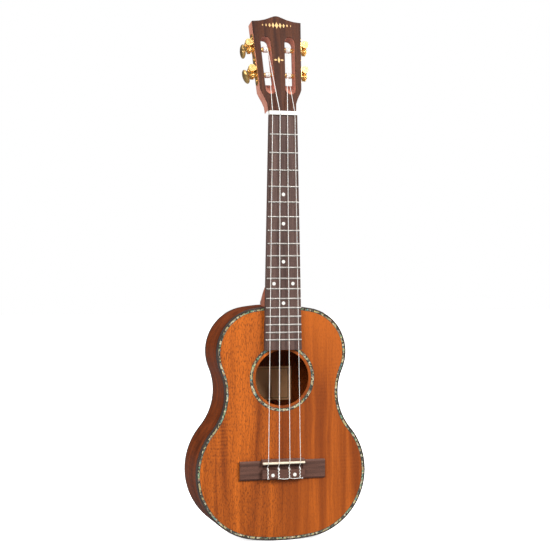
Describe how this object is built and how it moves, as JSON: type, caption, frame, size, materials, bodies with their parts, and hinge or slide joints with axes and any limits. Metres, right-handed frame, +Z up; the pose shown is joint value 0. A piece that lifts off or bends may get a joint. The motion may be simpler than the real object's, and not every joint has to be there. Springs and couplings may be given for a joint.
{
  "type": "tenor ukulele",
  "caption": "Small plucked string instrument: waisted hollow body with soundhole and tie bridge, fretted neck, and slotted head with worm-geared tuners.",
  "frame": {"origin": "under the tail at the lowest point, centred on the bounding box across and front to back", "axes": "+Z up the neck towards the head, -Y out of the playing face, +X to the right of someone facing the instrument"},
  "size_m": [0.2186, 0.0851, 0.6578],
  "materials": {
    "koa_top": "satin",
    "koa_side": "satin",
    "dark_wood": "satin",
    "mahogany": "satin",
    "spruce": "raw",
    "binding": "satin",
    "dark_line": "satin",
    "shell": "polished",
    "pearl": "polished",
    "bone": "polished",
    "paper": "matt",
    "fret_metal": "polished",
    "gold_metal": "polished plate",
    "string": "clear"
  },
  "bodies": {
    "instrument": {"soundboard": "koa_top", "back_plate": "koa_side", "side_left": "koa_side", "side_right": "koa_side", "front_binding": "binding", "back_binding": "binding", "front_purfling": "shell", "dark_lines": "dark_line", "rosette": "shell", "front_lining": "spruce", "back_lining": "spruce", "neck_block": "mahogany", "tail_block": "mahogany", "soundboard_braces": "spruce", "bridge_pad": "dark_wood", "back_braces": "spruce", "label": "paper", "neck": "mahogany", "heel_cap": "dark_wood", "fretboard": "dark_wood", "position_dots": "pearl", "frets": "fret_metal", "nut": "bone", "saddle": "bone", "bridge": "dark_wood", "bridge_dots": "pearl", "head": "mahogany", "head_veneer": "dark_wood", "tuner_plate_left": "gold_metal", "tuner_plate_right": "gold_metal", "plate_screws": "gold_metal", "string_1": "string", "string_2": "string", "string_3": "string", "string_4": "string"},
    "roller_1": {"roller_1": "gold_metal", "wheel_1": "gold_metal", "wheel_screw_1": "gold_metal", "winding_1": "string"},
    "worm_1": {"worm_1": "gold_metal", "button_1": "gold_metal"},
    "roller_2": {"roller_2": "gold_metal", "wheel_2": "gold_metal", "wheel_screw_2": "gold_metal", "winding_2": "string"},
    "worm_2": {"worm_2": "gold_metal", "button_2": "gold_metal"},
    "roller_3": {"roller_3": "gold_metal", "wheel_3": "gold_metal", "wheel_screw_3": "gold_metal", "winding_3": "string"},
    "worm_3": {"worm_3": "gold_metal", "button_3": "gold_metal"},
    "roller_4": {"roller_4": "gold_metal", "wheel_4": "gold_metal", "wheel_screw_4": "gold_metal", "winding_4": "string"},
    "worm_4": {"worm_4": "gold_metal", "button_4": "gold_metal"}
  },
  "joints": [
    {"name": "roller_1_turn", "type": "hinge", "parent": "instrument", "child": "roller_1", "pos_m": [-0.02802, -0.01238, 0.58046], "axis": [0.9983, 0.0137, 0.057], "continuous": true},
    {"name": "button_1_turn", "type": "hinge", "parent": "instrument", "child": "worm_1", "pos_m": [-0.03474, -0.01058, 0.58796], "axis": [0, 0.9724, -0.2334], "continuous": true},
    {"name": "roller_2_turn", "type": "hinge", "parent": "instrument", "child": "roller_2", "pos_m": [-0.03002, -0.00444, 0.61352], "axis": [0.9983, 0.0137, 0.057], "continuous": true},
    {"name": "button_2_turn", "type": "hinge", "parent": "instrument", "child": "worm_2", "pos_m": [-0.03673, -0.00264, 0.62102], "axis": [0, 0.9724, -0.2334], "continuous": true},
    {"name": "roller_3_turn", "type": "hinge", "parent": "instrument", "child": "roller_3", "pos_m": [0.03002, -0.00444, 0.61352], "axis": [0.9983, -0.0137, -0.057], "continuous": true},
    {"name": "button_3_turn", "type": "hinge", "parent": "instrument", "child": "worm_3", "pos_m": [0.03673, -0.00264, 0.62102], "axis": [0, 0.9724, -0.2334], "continuous": true},
    {"name": "roller_4_turn", "type": "hinge", "parent": "instrument", "child": "roller_4", "pos_m": [0.02802, -0.01238, 0.58046], "axis": [0.9983, -0.0137, -0.057], "continuous": true},
    {"name": "button_4_turn", "type": "hinge", "parent": "instrument", "child": "worm_4", "pos_m": [0.03474, -0.01058, 0.58796], "axis": [0, 0.9724, -0.2334], "continuous": true}
  ],
  "couplings": [
    {"joint": "roller_1_turn", "follows": "button_1_turn", "ratio": 0.071429},
    {"joint": "roller_2_turn", "follows": "button_2_turn", "ratio": 0.071429},
    {"joint": "roller_3_turn", "follows": "button_3_turn", "ratio": 0.071429},
    {"joint": "roller_4_turn", "follows": "button_4_turn", "ratio": 0.071429}
  ]
}
